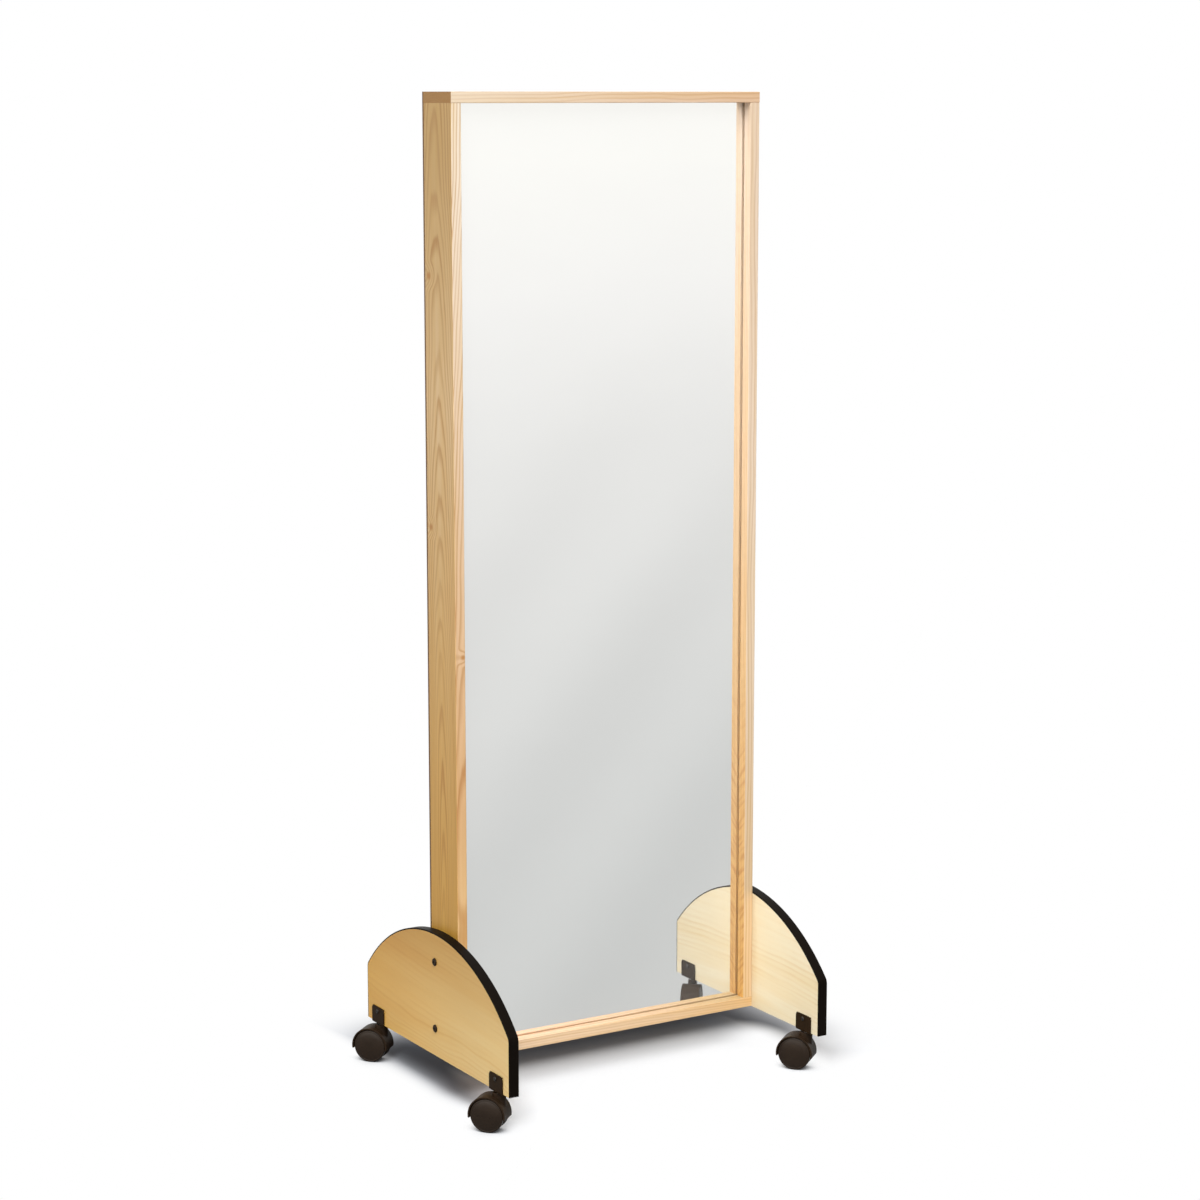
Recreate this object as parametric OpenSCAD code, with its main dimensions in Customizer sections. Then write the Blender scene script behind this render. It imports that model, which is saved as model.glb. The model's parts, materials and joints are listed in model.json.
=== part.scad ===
// Rolling floor mirror: a tall mirror in a frame of boards, bolted between two arched end panels that
// stand on four hooded twin-wheel casters. All sizes are in millimetres.
// X runs across the mirror, Y from front to back and Z up. The origin is on the floor, under the middle
// of the frame.

/* [Frame] */
// Width of the frame over its two stiles
frame_w = 622; // [400:1:900]
// Height of the frame over its two rails
frame_h = 1684; // [1000:1:2100]
// Thickness of the frame boards
board_t = 19; // [17:0.5:26]
// Depth of the frame boards, from front to back
board_d = 98; // [85:1:140]
// Rounding of the boards' long edges
edge_r = 1; // [0.5:0.1:1.5]
// Depth of the wooden lip in front of the glass
lip_d = 19; // [12:0.5:30]
// Screws through each rail end into the stile
joint_screws = 3; // [2:1:3]
// Length of those screws
joint_screw_l = 45; // [35:1:45]

/* [Mirror] */
// Thickness of the mirror glass
glass_t = 6; // [3:0.5:8]
// Thickness of the backing board behind the glass
backer_t = 3; // [2:0.5:6]
// How far the glass reaches into the boards
glass_bite = 7.5; // [5:0.5:8]
// Thickness of the rear panel
rear_t = 4; // [3:0.5:6]
// Screws down each side of the rear panel
rear_screws = 5; // [3:1:9]

/* [End panels] */
// Length of an end panel, from front to back
panel_l = 530; // [420:1:700]
// Thickness of an end panel
panel_t = 19; // [15.5:0.5:26]
// Height of its straight front and rear ends
panel_end_h = 102; // [80:1:125]
// Height of its arched top
panel_arch_h = 224; // [200:1:300]
// Thickness of the edge band's head
band_t = 2.5; // [1.5:0.1:4]
// Thickness of the edge band's tongue
tongue_t = 1.6; // [1:0.1:2.5]
// Depth of the edge band's tongue
tongue_d = 9; // [6:0.5:12]
// Height of the lower bolt above the panel's bottom edge
bolt_low = 50; // [50:1:70]
// Distance between the two bolts of a panel
bolt_pitch = 122; // [80:1:140]
// Diameter of the bolts
bolt_d = 6; // [5:0.5:8]
// Diameter of the bolts' heads
bolt_head_d = 14; // [12:0.5:18]

/* [Casters] */
// Diameter of the wheels
wheel_d = 60; // [45:1:75]
// Width of one wheel
wheel_w = 11.2; // [9:0.1:16]
// Rise of a wheel's domed face
wheel_dome = 1.2; // [0.5:0.1:3]
// Distance from the swivel's axis to the axle
trail = 22; // [18:0.5:27]
// Thickness of the hood's wall
hood_wall = 2.8; // [2:0.1:4]
// Gap between the tread and the hood
hood_gap = 1.2; // [0.8:0.1:3]
// How far the hood reaches below the axle
hood_drop = 5.6; // [0:0.1:10]
// Wall of the hood's middle web on either side of the stem
web_wall = 2; // [1.8:0.1:5]
// Rise of the hood's neck above its arch
neck_rise = 5.2; // [4:0.1:12]
// Diameter of the stem
stem_d = 8; // [6:0.1:10]
// Diameter of the axle
axle_d = 6; // [5:0.1:8]
// Distance from a panel's end to the swivel's axis
caster_inset = 44.5; // [40:0.5:80]
// Turn of the casters about their stems at rest, in degrees from straight back
caster_turn = 40; // [-180:1:180]

/* [Brackets] */
// Width of a saddle bracket
bracket_w = 45; // [36:1:60]
// Thickness of its steel
bracket_t = 2.5; // [2:0.1:4]
// Height of its plates above the panel's bottom edge
bracket_h = 30; // [24:1:40]
// Rounding of the plates' upper corners
bracket_corner = 6; // [2:0.5:10]
// Height of the screws above the panel's bottom edge
bracket_screw_h = 22; // [14:0.5:26]

/* [Hidden] */
$fn = 96;
eps = 1;                // how far a cut runs past the face it opens
fit = 0.05;             // radial clearance of a pin or screw in its hole
play = 0.3;             // clearance behind the backing board
head_room = 3;          // clearance above the glass, in the top rail's groove
side_room = 1.5;        // clearance beside the glass, in each stile's groove

// Fasteners
joint_screw_d = 4;
joint_head_d = 8;
rear_screw_d = 3.5;
rear_screw_l = 16;
rear_head_d = 7;
rear_screw_margin = 64; // from the frame's ends to the first and last screw
bracket_screw_d = 4;
bracket_head_d = 8;
screw_tip_room = 1.5;   // from a bracket screw's tip to the panel's middle
pan_h = 2.2;            // height of a pan head
recess_w = 1;           // width of a cross recess's slots
bolt_head_h = 2.6;
bolt_socket = 4;        // across the flats of the bolt head's hexagon socket
washer_d = 14;
washer_t = 1.5;
nut_w = 10;             // across the nut's flats
nut_t = 5;
bolt_past_nut = 2;

// Casters
wheel_gap = 0.8;        // between a wheel and the web
wheel_edge = 2;         // rounding of the tread's edges
wheel_face = 3;         // thickness of a wheel's outer face
wheel_rim = 4;          // thickness of a wheel's tread
hub_r = 7;
axle_boss_r = 9;
neck_wall = 4;          // round the stem in the hood's neck
neck_reach = 9;         // of the neck's straight sides behind the stem
swivel_gap = 0.3;       // between the stem's shoulder and the neck
shoulder_t = 2;
stem_l = 30;            // length of the stem inside the neck
socket_room = 1;        // below the stem's tip
groove_at = 14;         // depth of the ring's groove below the neck's top
ring_t = 1.2;
ring_wall = 0.9;        // how far the ring stands out of the stem
ring_slit = 70;         // angle of the ring's opening

// Derived sizes and places
frame_d = board_d + rear_t;
front_y = -frame_d / 2;
rear_y = front_y + board_d;
glass_y = front_y + lip_d;
groove_w = glass_t + backer_t + play;
groove_depth = glass_bite + side_room;
groove_y = glass_y + groove_w;
opening_w = frame_w - 2 * board_t;
stile_h = frame_h - 2 * board_t;
stile_x = opening_w / 2;
glass_w = opening_w + 2 * glass_bite;
glass_h = stile_h + 2 * groove_depth - head_room;
axle_z = wheel_d / 2;
web_w = stem_d + 2 * web_wall;
neck_w = stem_d + 2 * neck_wall;
hood_r = wheel_d / 2 + hood_gap + hood_wall;
hood_w = web_w + 2 * (wheel_gap + wheel_w);
neck_top = axle_z + hood_r + neck_rise;
base_z = neck_top + swivel_gap + shoulder_t + bracket_t;
arch_rise = panel_arch_h - panel_end_h;
arch_r = (pow(panel_l / 2, 2) + pow(arch_rise, 2)) / (2 * arch_rise);
panel_x = frame_w / 2 + panel_t / 2;
stem_y = panel_l / 2 - caster_inset;
bracket_screw_l = bracket_t + panel_t / 2 - screw_tip_room;

// Left and right, front and rear
LEFT = -1;
RIGHT = 1;
FRONT = -1;
REAR = 1;

// A rectangle from the origin with its four corners rounded
module eased(size, r) {
    translate([r, 0]) square([size[0] - 2 * r, size[1]]);
    translate([0, r]) square([size[0], size[1] - 2 * r]);
    for (x = [r, size[0] - r], y = [r, size[1] - r]) translate([x, y]) circle(r);
}

// Extrudes a drawing of Y and Z along X, about the middle
module across(length) {
    rotate([90, 0, 90]) linear_extrude(length, center = true) children();
}

// A cross recess, cut down into a screw head whose top is at the origin
module cross_recess(d) {
    for (a = [0, 90]) rotate(a) translate([-0.3 * d, -recess_w / 2, -0.2 * d])
        cube([0.6 * d, recess_w, 0.2 * d + eps]);
}

// A countersunk screw pointing down, its head's flat top at the origin
module countersunk_screw(d, l, head_d) {
    cone_h = (head_d - d) / 2;
    difference() {
        union() {
            translate([0, 0, -cone_h]) cylinder(h = cone_h, d1 = d, d2 = head_d);
            translate([0, 0, -l]) cylinder(h = l - cone_h, d = d);
        }
        cross_recess(head_d);
    }
}

// The hole of a countersunk screw
module countersunk_hole(d, l, head_d) {
    cone_h = (head_d - d) / 2;
    translate([0, 0, -cone_h]) cylinder(h = cone_h, d1 = d + 2 * fit, d2 = head_d + 2 * fit);
    translate([0, 0, -fit]) cylinder(h = eps, d = head_d + 2 * fit);
    translate([0, 0, -l - fit]) cylinder(h = l + fit, d = d + 2 * fit);
}

// A pan head screw pointing down, the head's underside at the origin
module pan_screw(d, l, head_d) {
    difference() {
        union() {
            cylinder(h = pan_h, d1 = head_d, d2 = 0.7 * head_d);
            translate([0, 0, -l]) cylinder(h = l, d = d);
        }
        translate([0, 0, pan_h]) cross_recess(head_d);
    }
}

// Y of a rail end's screws: the first is in the lip, and the others share the wood behind the groove
function joint_screw_y(i) =
    i == 0 ? front_y + lip_d / 2 : groove_y + (rear_y - groove_y) * (i - 0.5) / (joint_screws - 1);

// Places its children at every frame screw, on the outer face of the rail at side (1 top, -1 bottom)
module at_joint_screws(side) {
    for (x = [LEFT, RIGHT], i = [0 : joint_screws - 1])
        translate([x * (frame_w - board_t) / 2, joint_screw_y(i), side > 0 ? base_z + frame_h : base_z])
            rotate([side > 0 ? 0 : 180, 0, 0]) children();
}

// Places its children at every rear panel screw, with -Z pointing forwards into the boards
module at_rear_screws() {
    low = base_z + rear_screw_margin;
    step = (frame_h - 2 * rear_screw_margin) / (rear_screws - 1);
    for (x = [LEFT, RIGHT], i = [0 : rear_screws - 1])
        translate([x * (frame_w - board_t) / 2, rear_y + rear_t, low + i * step])
            rotate([-90, 0, 0]) children();
    for (x = [LEFT, RIGHT], z = [base_z + board_t / 2, base_z + frame_h - board_t / 2])
        translate([x * frame_w / 6, rear_y + rear_t, z]) rotate([-90, 0, 0]) children();
}

// Places its children at the bolts of one side, on the panel's outer face, with -Z pointing inwards
module at_bolts(side) {
    for (z = [bolt_low, bolt_low + bolt_pitch])
        translate([side * (frame_w / 2 + panel_t), 0, base_z + z]) rotate([0, side * 90, 0]) children();
}

// Places its children at one caster's stem, on the floor
module at_caster(side, end) {
    translate([side * panel_x, end * stem_y, 0]) children();
}

// Turns its children so that +X points along the caster's trail and +Y along its axle
module headed() {
    rotate(90 + caster_turn) children();
}

// Places its children at the screws of one bracket, with -Z pointing into the panel
module at_bracket_screws(side, end) {
    for (face = [-1, 1])
        translate([side * panel_x + face * (panel_t / 2 + bracket_t), end * stem_y, base_z + bracket_screw_h])
            rotate([0, face * 90, 0]) children();
}

// ---- frame ----

module stile(side) {
    color("burlywood") difference() {
        translate([side * (stile_x + board_t / 2) - board_t / 2, front_y, base_z + board_t])
            linear_extrude(stile_h) eased([board_t, board_d], edge_r);
        translate([side * (stile_x + groove_depth / 2 - eps / 2), glass_y + groove_w / 2, base_z + frame_h / 2])
            cube([groove_depth + eps, groove_w, frame_h], center = true);
        for (end = [-1, 1]) at_joint_screws(end)
            countersunk_hole(joint_screw_d, joint_screw_l, joint_head_d);
        at_rear_screws() translate([0, 0, -rear_screw_l])
            cylinder(h = rear_screw_l + eps, d = rear_screw_d + 2 * fit);
        at_bolts(side) translate([0, 0, -panel_t - board_t - eps])
            cylinder(h = panel_t + board_t + 2 * eps, d = bolt_d + 2 * fit);
    }
}

// One of the two rails: side is 1 for the top rail and -1 for the bottom rail
module rail(side) {
    z = side > 0 ? base_z + frame_h - board_t : base_z;
    groove_z = side > 0 ? z : z + board_t;
    color("burlywood") difference() {
        translate([0, front_y, z]) across(frame_w) eased([board_d, board_t], edge_r);
        translate([0, glass_y + groove_w / 2, groove_z])
            cube([glass_w + 2 * side_room, groove_w, 2 * groove_depth], center = true);
        at_joint_screws(side) countersunk_hole(joint_screw_d, joint_screw_l, joint_head_d);
        at_rear_screws() translate([0, 0, -rear_screw_l])
            cylinder(h = rear_screw_l + eps, d = rear_screw_d + 2 * fit);
    }
}

module frame_screws() {
    color("silver") for (side = [-1, 1]) at_joint_screws(side)
        countersunk_screw(joint_screw_d, joint_screw_l, joint_head_d);
}

// A plate in the frame's groove, standing on the bottom rail
module grooved_plate(y, t) {
    translate([-glass_w / 2, y, base_z + board_t - groove_depth]) cube([glass_w, t, glass_h]);
}

module mirror_glass() {
    color("lightcyan") grooved_plate(glass_y, glass_t);
}

module backing_board() {
    color("saddlebrown") grooved_plate(glass_y + glass_t, backer_t);
}

module rear_panel() {
    color("sienna") difference() {
        translate([-frame_w / 2, rear_y, base_z]) cube([frame_w, rear_t, frame_h]);
        at_rear_screws() translate([0, 0, -rear_t - eps])
            cylinder(h = rear_t + 2 * eps, d = rear_screw_d + 2 * fit);
    }
}

module rear_panel_screws() {
    color("silver") at_rear_screws() pan_screw(rear_screw_d, rear_screw_l, rear_head_d);
}

// ---- end panels ----

// The end panel's outline in Y and Z, from its bottom edge up, drawn in by inset on its banded edges
module panel_outline(inset) {
    intersection() {
        translate([0, panel_arch_h - arch_r]) circle(arch_r - inset, $fn = 360);
        translate([-panel_l / 2 + inset, 0]) square([panel_l - 2 * inset, panel_arch_h]);
    }
}

// The strip of the outline between two insets, open at the bottom
module panel_strip(from, to) {
    difference() {
        panel_outline(from);
        panel_outline(to);
        translate([-panel_l / 2 + to, -eps]) square([panel_l - 2 * to, panel_end_h / 2]);
    }
}

module end_panel(side) {
    color("wheat") difference() {
        translate([side * panel_x, 0, base_z]) across(panel_t) panel_outline(band_t);
        translate([side * panel_x, 0, base_z]) across(tongue_t + 2 * fit)
            panel_strip(band_t - eps, band_t + tongue_d + 2 * fit);
        at_bolts(side) translate([0, 0, -panel_t - eps])
            cylinder(h = panel_t + 2 * eps, d = bolt_d + 2 * fit);
        for (end = [FRONT, REAR]) at_bracket_screws(side, end) translate([0, 0, -bracket_screw_l - fit])
            cylinder(h = bracket_screw_l + eps, d = bracket_screw_d + 2 * fit);
    }
}

module edge_band(side) {
    color("dimgray") translate([side * panel_x, 0, base_z]) {
        across(panel_t) panel_strip(0, band_t);
        across(tongue_t) panel_strip(band_t / 2, band_t + tongue_d);
    }
}

module panel_bolts() {
    shank = panel_t + board_t + washer_t + nut_t + bolt_past_nut;
    color("black") for (side = [LEFT, RIGHT]) at_bolts(side) difference() {
        union() {
            cylinder(h = bolt_head_h, d1 = bolt_head_d, d2 = bolt_head_d - bolt_head_h);
            translate([0, 0, -shank]) cylinder(h = shank, d = bolt_d);
        }
        translate([0, 0, bolt_head_h / 3])
            cylinder(h = bolt_head_h, d = bolt_socket / cos(30), $fn = 6);
    }
}

module panel_washers() {
    color("silver") for (side = [LEFT, RIGHT]) at_bolts(side)
        translate([0, 0, -panel_t - board_t - washer_t]) difference() {
            cylinder(h = washer_t, d = washer_d);
            translate([0, 0, -eps]) cylinder(h = washer_t + 2 * eps, d = bolt_d + 2 * fit);
        }
}

module panel_nuts() {
    color("silver") for (side = [LEFT, RIGHT]) at_bolts(side)
        translate([0, 0, -panel_t - board_t - washer_t - nut_t]) difference() {
            cylinder(h = nut_t, d = nut_w / cos(30), $fn = 6);
            translate([0, 0, -eps]) cylinder(h = nut_t + 2 * eps, d = bolt_d + 2 * fit);
        }
}

// ---- brackets ----

// A U of sheet steel that straddles the panel's bottom edge, with a hole for the stem in its web
module bracket(side, end) {
    outer_w = panel_t + 2 * bracket_t;
    color("dimgray") difference() {
        translate([side * panel_x, end * stem_y, base_z]) intersection() {
            rotate([90, 0, 0]) linear_extrude(bracket_w, center = true) difference() {
                translate([-outer_w / 2, -bracket_t]) eased([outer_w, bracket_h + 3 * bracket_t], bracket_t);
                translate([-panel_t / 2, 0]) square([panel_t, bracket_h + 3 * bracket_t]);
            }
            across(outer_w) union() {
                translate([-bracket_w / 2, -bracket_t])
                    square([bracket_w, bracket_h + bracket_t - bracket_corner]);
                translate([-bracket_w / 2 + bracket_corner, -bracket_t])
                    square([bracket_w - 2 * bracket_corner, bracket_h + bracket_t]);
                for (y = [-1, 1]) translate([y * (bracket_w / 2 - bracket_corner), bracket_h - bracket_corner])
                    circle(bracket_corner);
            }
        }
        at_caster(side, end) translate([0, 0, base_z - bracket_t - eps])
            cylinder(h = bracket_t + 2 * eps, d = stem_d + 2 * fit);
        at_bracket_screws(side, end) translate([0, 0, -bracket_t - eps])
            cylinder(h = bracket_t + 2 * eps, d = bracket_screw_d + 2 * fit);
    }
}

module bracket_screws() {
    color("gray") for (side = [LEFT, RIGHT], end = [FRONT, REAR]) at_bracket_screws(side, end)
        pan_screw(bracket_screw_d, bracket_screw_l, bracket_head_d);
}

// The swivel pin: flush with the bracket's web, with a shoulder under it and a groove for the grip ring
module stem(side, end) {
    color("silver") at_caster(side, end) difference() {
        union() {
            translate([0, 0, base_z - bracket_t - shoulder_t]) cylinder(h = shoulder_t, d = neck_w);
            translate([0, 0, neck_top - stem_l]) cylinder(h = base_z - neck_top + stem_l, d = stem_d);
        }
        translate([0, 0, neck_top - groove_at - ring_t / 2 - fit]) difference() {
            cylinder(h = ring_t + 2 * fit, d = stem_d + eps);
            cylinder(h = ring_t + 2 * fit, d = stem_d - 2 * ring_wall);
        }
    }
}

module grip_rings() {
    outer = stem_d / 2 + ring_wall;
    inner = stem_d / 2 - ring_wall + fit;
    color("silver") for (side = [LEFT, RIGHT], end = [FRONT, REAR]) at_caster(side, end)
        translate([0, 0, neck_top - groove_at - ring_t / 2]) headed()
            rotate_extrude(angle = 360 - ring_slit) translate([inner, 0]) square([outer - inner, ring_t]);
}

// ---- casters ----

// The hood's arch in the plane of its trail and Z, out to radius r
module arch_shape(r) {
    translate([trail, axle_z]) intersection() {
        circle(r);
        translate([-r, -hood_drop]) square([2 * r, r + hood_drop]);
    }
}

module hood(side, end) {
    inner_r = hood_r - hood_wall;
    ring_room = ring_wall + 4 * fit + play;
    color("dimgray") at_caster(side, end) headed() difference() {
        union() {
            difference() {
                union() {
                    rotate([90, 0, 0]) linear_extrude(hood_w, center = true) arch_shape(hood_r);
                    neck_column(neck_top - axle_z);
                }
                translate([trail, 0, axle_z]) rotate([90, 0, 0])
                    cylinder(h = hood_w + 2 * eps, r = inner_r, center = true);
            }
            rotate([90, 0, 0]) linear_extrude(web_w, center = true) {
                arch_shape(inner_r + hood_wall / 2);
                translate([trail, axle_z]) circle(axle_boss_r);
            }
        }
        translate([0, 0, neck_top - stem_l - socket_room])
            cylinder(h = stem_l + socket_room + eps, d = stem_d + 2 * fit);
        translate([0, 0, neck_top - groove_at - ring_t / 2 - play])
            cylinder(h = ring_t + 2 * play, r = stem_d / 2 + ring_room);
        translate([trail, 0, axle_z]) rotate([90, 0, 0])
            cylinder(h = web_w + 2 * eps, d = axle_d + 2 * fit, center = true);
    }
}

// The hood's neck: a round-ended column over the stem and the arch's crown
module neck_column(h) {
    translate([0, 0, neck_top - h]) linear_extrude(h) {
        circle(neck_w / 2);
        translate([0, -neck_w / 2]) square([neck_reach, neck_w]);
        translate([neck_reach, 0]) circle(neck_w / 2);
    }
}

module axle(side, end) {
    l = web_w + 2 * (wheel_gap + wheel_w - wheel_face);
    color("silver") at_caster(side, end) headed() translate([trail, 0, axle_z]) rotate([90, 0, 0])
        cylinder(h = l, d = axle_d, center = true);
}

// A wheel's half section: radius along X, and from its inner to its outer face along Y
module wheel_section() {
    r = wheel_d / 2;
    face_r = r - wheel_edge;
    dome_r = (pow(face_r, 2) + pow(wheel_dome, 2)) / (2 * wheel_dome);
    difference() {
        union() {
            square([face_r, wheel_w]);
            intersection() {
                translate([0, wheel_w + wheel_dome - dome_r]) circle(dome_r, $fn = 720);
                square([face_r, wheel_w + wheel_dome]);
            }
            translate([0, wheel_edge]) square([r, wheel_w - 2 * wheel_edge]);
            for (y = [wheel_edge, wheel_w - wheel_edge]) translate([r - wheel_edge, y]) circle(wheel_edge);
        }
        translate([hub_r, -eps]) square([r - wheel_rim - hub_r, wheel_w - wheel_face + eps]);
        translate([-eps, -eps]) square([axle_d / 2 + fit + eps, wheel_w - wheel_face + play + eps]);
    }
}

// One wheel of a caster: hand is 1 for wheel a, on the trail's left, and -1 for wheel b
module wheel(side, end, hand) {
    color("dimgray") at_caster(side, end) headed() translate([trail, hand * (web_w / 2 + wheel_gap), axle_z])
        rotate([-hand * 90, 0, 0]) rotate_extrude() wheel_section();
}

stile(LEFT);  // left_stile
stile(RIGHT);  // right_stile
rail(1);  // top_rail
rail(-1);  // bottom_rail
frame_screws();
mirror_glass();
backing_board();
rear_panel();
rear_panel_screws();
end_panel(LEFT);  // left_end_panel
end_panel(RIGHT);  // right_end_panel
edge_band(LEFT);  // left_edge_band
edge_band(RIGHT);  // right_edge_band
panel_bolts();
panel_washers();
panel_nuts();
bracket(LEFT, FRONT);  // front_left_bracket
bracket(RIGHT, FRONT);  // front_right_bracket
bracket(LEFT, REAR);  // rear_left_bracket
bracket(RIGHT, REAR);  // rear_right_bracket
bracket_screws();
stem(LEFT, FRONT);  // front_left_stem
stem(RIGHT, FRONT);  // front_right_stem
stem(LEFT, REAR);  // rear_left_stem
stem(RIGHT, REAR);  // rear_right_stem
grip_rings();
hood(LEFT, FRONT);  // front_left_hood
hood(RIGHT, FRONT);  // front_right_hood
hood(LEFT, REAR);  // rear_left_hood
hood(RIGHT, REAR);  // rear_right_hood
axle(LEFT, FRONT);  // front_left_axle
axle(RIGHT, FRONT);  // front_right_axle
axle(LEFT, REAR);  // rear_left_axle
axle(RIGHT, REAR);  // rear_right_axle
wheel(LEFT, FRONT, 1);  // front_left_wheel_a
wheel(LEFT, FRONT, -1);  // front_left_wheel_b
wheel(RIGHT, FRONT, 1);  // front_right_wheel_a
wheel(RIGHT, FRONT, -1);  // front_right_wheel_b
wheel(LEFT, REAR, 1);  // rear_left_wheel_a
wheel(LEFT, REAR, -1);  // rear_left_wheel_b
wheel(RIGHT, REAR, 1);  // rear_right_wheel_a
wheel(RIGHT, REAR, -1);  // rear_right_wheel_b
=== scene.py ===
# Rolling floor mirror: finishes and finer pieces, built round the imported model.
import json
import math

import bmesh
import bpy
from mathutils import Matrix, Vector


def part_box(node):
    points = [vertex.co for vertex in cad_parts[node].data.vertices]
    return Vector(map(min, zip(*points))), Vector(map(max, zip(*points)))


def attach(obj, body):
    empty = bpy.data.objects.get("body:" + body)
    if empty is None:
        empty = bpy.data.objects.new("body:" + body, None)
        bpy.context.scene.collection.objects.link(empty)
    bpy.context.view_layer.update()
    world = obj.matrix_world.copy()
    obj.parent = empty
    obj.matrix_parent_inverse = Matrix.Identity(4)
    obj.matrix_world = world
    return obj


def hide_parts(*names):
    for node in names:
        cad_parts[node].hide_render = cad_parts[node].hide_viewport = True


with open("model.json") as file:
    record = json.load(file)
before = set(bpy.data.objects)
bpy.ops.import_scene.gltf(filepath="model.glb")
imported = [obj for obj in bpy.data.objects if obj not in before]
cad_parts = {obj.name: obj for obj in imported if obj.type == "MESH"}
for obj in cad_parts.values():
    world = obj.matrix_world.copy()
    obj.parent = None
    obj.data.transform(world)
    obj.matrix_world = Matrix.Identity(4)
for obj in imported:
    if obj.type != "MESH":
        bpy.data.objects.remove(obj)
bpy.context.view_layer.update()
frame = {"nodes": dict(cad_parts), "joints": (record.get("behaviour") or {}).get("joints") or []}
nodes = frame["nodes"]
joints = {joint["name"]: joint for joint in frame["joints"]}

sides = {"left": -1, "right": 1}
corners = ("front_left", "front_right", "rear_left", "rear_right")


def addNode(tree, kind, inputs=None, **settings):
    node = tree.nodes.new(kind)
    for key, value in settings.items():
        setattr(node, key, value)
    for key, value in (inputs or {}).items():
        if isinstance(value, bpy.types.NodeSocket):
            tree.links.new(value, node.inputs[key])
        else:
            node.inputs[key].default_value = value
    return node


def calc(tree, operation, *values):
    return addNode(tree, "ShaderNodeMath", dict(enumerate(values)), operation=operation).outputs[0]


def mapRange(tree, value, low, high, toLow=0.0, toHigh=1.0, ease="LINEAR"):
    return addNode(tree, "ShaderNodeMapRange", {"Value": value, "From Min": low, "From Max": high,
                                                "To Min": toLow, "To Max": toHigh},
                   interpolation_type=ease).outputs[0]


def gapTo(tree, part, middle):
    return calc(tree, "ABSOLUTE", calc(tree, "SUBTRACT", part, middle))


def swayed(tree, value, depth, base=1.0):
    # base, moved by up to depth either way as a noise goes from 0 to 1
    return calc(tree, "MULTIPLY_ADD", calc(tree, "SUBTRACT", value, 0.5), 2 * depth, base)


def ramp(tree, factor, stops, ease="LINEAR"):
    node = addNode(tree, "ShaderNodeValToRGB", {"Fac": factor})
    node.color_ramp.interpolation = ease
    points = node.color_ramp.elements
    while len(points) < len(stops):
        points.new(0.5)
    for point, (place, colour) in zip(points, stops):
        point.position = place
        point.color = (*colour, 1) if isinstance(colour, tuple) else (colour, colour, colour, 1)
    return node.outputs["Color"]


def rampAlong(tree, length, stops):
    # stops: (place in metres, colour), from the lowest place up
    low, high = stops[0][0], stops[-1][0]
    factor = mapRange(tree, length, low, high)
    return ramp(tree, factor, [((place - low) / (high - low), colour) for place, colour in stops])


def blend(tree, factor, under, over, mode="MIX"):
    mix = addNode(tree, "ShaderNodeMix", data_type="RGBA", blend_type=mode)
    for socket, value in zip((mix.inputs[0], mix.inputs[6], mix.inputs[7]), (factor, under, over)):
        if isinstance(value, bpy.types.NodeSocket):
            tree.links.new(value, socket)
        else:
            socket.default_value = (*value, 1) if isinstance(value, tuple) else value
    return mix.outputs[2]


def times(tree, colour, tint):
    return blend(tree, 1.0, colour, tint, "MULTIPLY")


def tinted(tree, share, colour, tint):
    # the colour times the tint, as far as share says
    return blend(tree, share, colour, times(tree, colour, tint))


def grey(tree, level):
    return addNode(tree, "ShaderNodeCombineColor", {i: level for i in range(3)}).outputs[0]


def vectorOf(tree, *parts):
    return addNode(tree, "ShaderNodeCombineXYZ", dict(enumerate(parts))).outputs[0]


def noise(tree, parts, scales, detail=2.0, roughness=0.5):
    # noise of three lengths, each with as many lumps a metre as its scale says
    vector = vectorOf(tree, *(calc(tree, "MULTIPLY", part, scale) for part, scale in zip(parts, scales)))
    return addNode(tree, "ShaderNodeTexNoise", {"Vector": vector, "Scale": 1.0, "Detail": detail,
                                                "Roughness": roughness}).outputs[0]


def objectParts(tree):
    place = addNode(tree, "ShaderNodeTexCoord").outputs["Object"]
    return addNode(tree, "ShaderNodeSeparateXYZ", {0: place}).outputs


def faceTurn(tree, axis):
    # how far a face looks along an axis, from -1 to 1
    normal = addNode(tree, "ShaderNodeTexCoord").outputs["Normal"]
    return addNode(tree, "ShaderNodeSeparateXYZ", {0: normal}).outputs["XYZ".index(axis)]


def newMaterial(name, roughness=0.5, specular=0.5, metallic=0.0):
    material = bpy.data.materials.new(name)
    material.use_nodes = True
    tree = material.node_tree
    shader = tree.nodes["Principled BSDF"]
    shader.inputs["Roughness"].default_value = roughness
    shader.inputs["Specular IOR Level"].default_value = specular
    shader.inputs["Metallic"].default_value = metallic
    return material, tree, shader


def setColour(tree, shader, colour):
    tree.links.new(colour, shader.inputs["Base Color"])


def setSheen(tree, shader, value, roughness, surface):
    # moves the roughness round its mean as value crosses the surface's span
    low, high = (roughness + sway for sway in surface["sheenSway"])
    tree.links.new(mapRange(tree, value, *surface["sheenSpan"], low, high), shader.inputs["Roughness"])


def addBump(tree, shader, height, distance):
    bump = addNode(tree, "ShaderNodeBump", {"Height": height, "Strength": 1.0, "Distance": distance})
    tree.links.new(bump.outputs[0], shader.inputs["Normal"])


def seenDirectly(tree):
    # 1 for what the camera sees, straight or in a mirror or through glass
    path = addNode(tree, "ShaderNodeLightPath")
    seen = calc(tree, "MAXIMUM", path.outputs["Is Camera Ray"], path.outputs["Is Glossy Ray"])
    return calc(tree, "MAXIMUM", seen, path.outputs["Is Transmission Ray"])


def srgb(red, green, blue):
    # a colour from its screen values, 0 to 255
    levels = [level / 255 for level in (red, green, blue)]
    return tuple(level / 12.92 if level <= 0.04045 else ((level + 0.055) / 1.055) ** 2.4
                 for level in levels)


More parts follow.
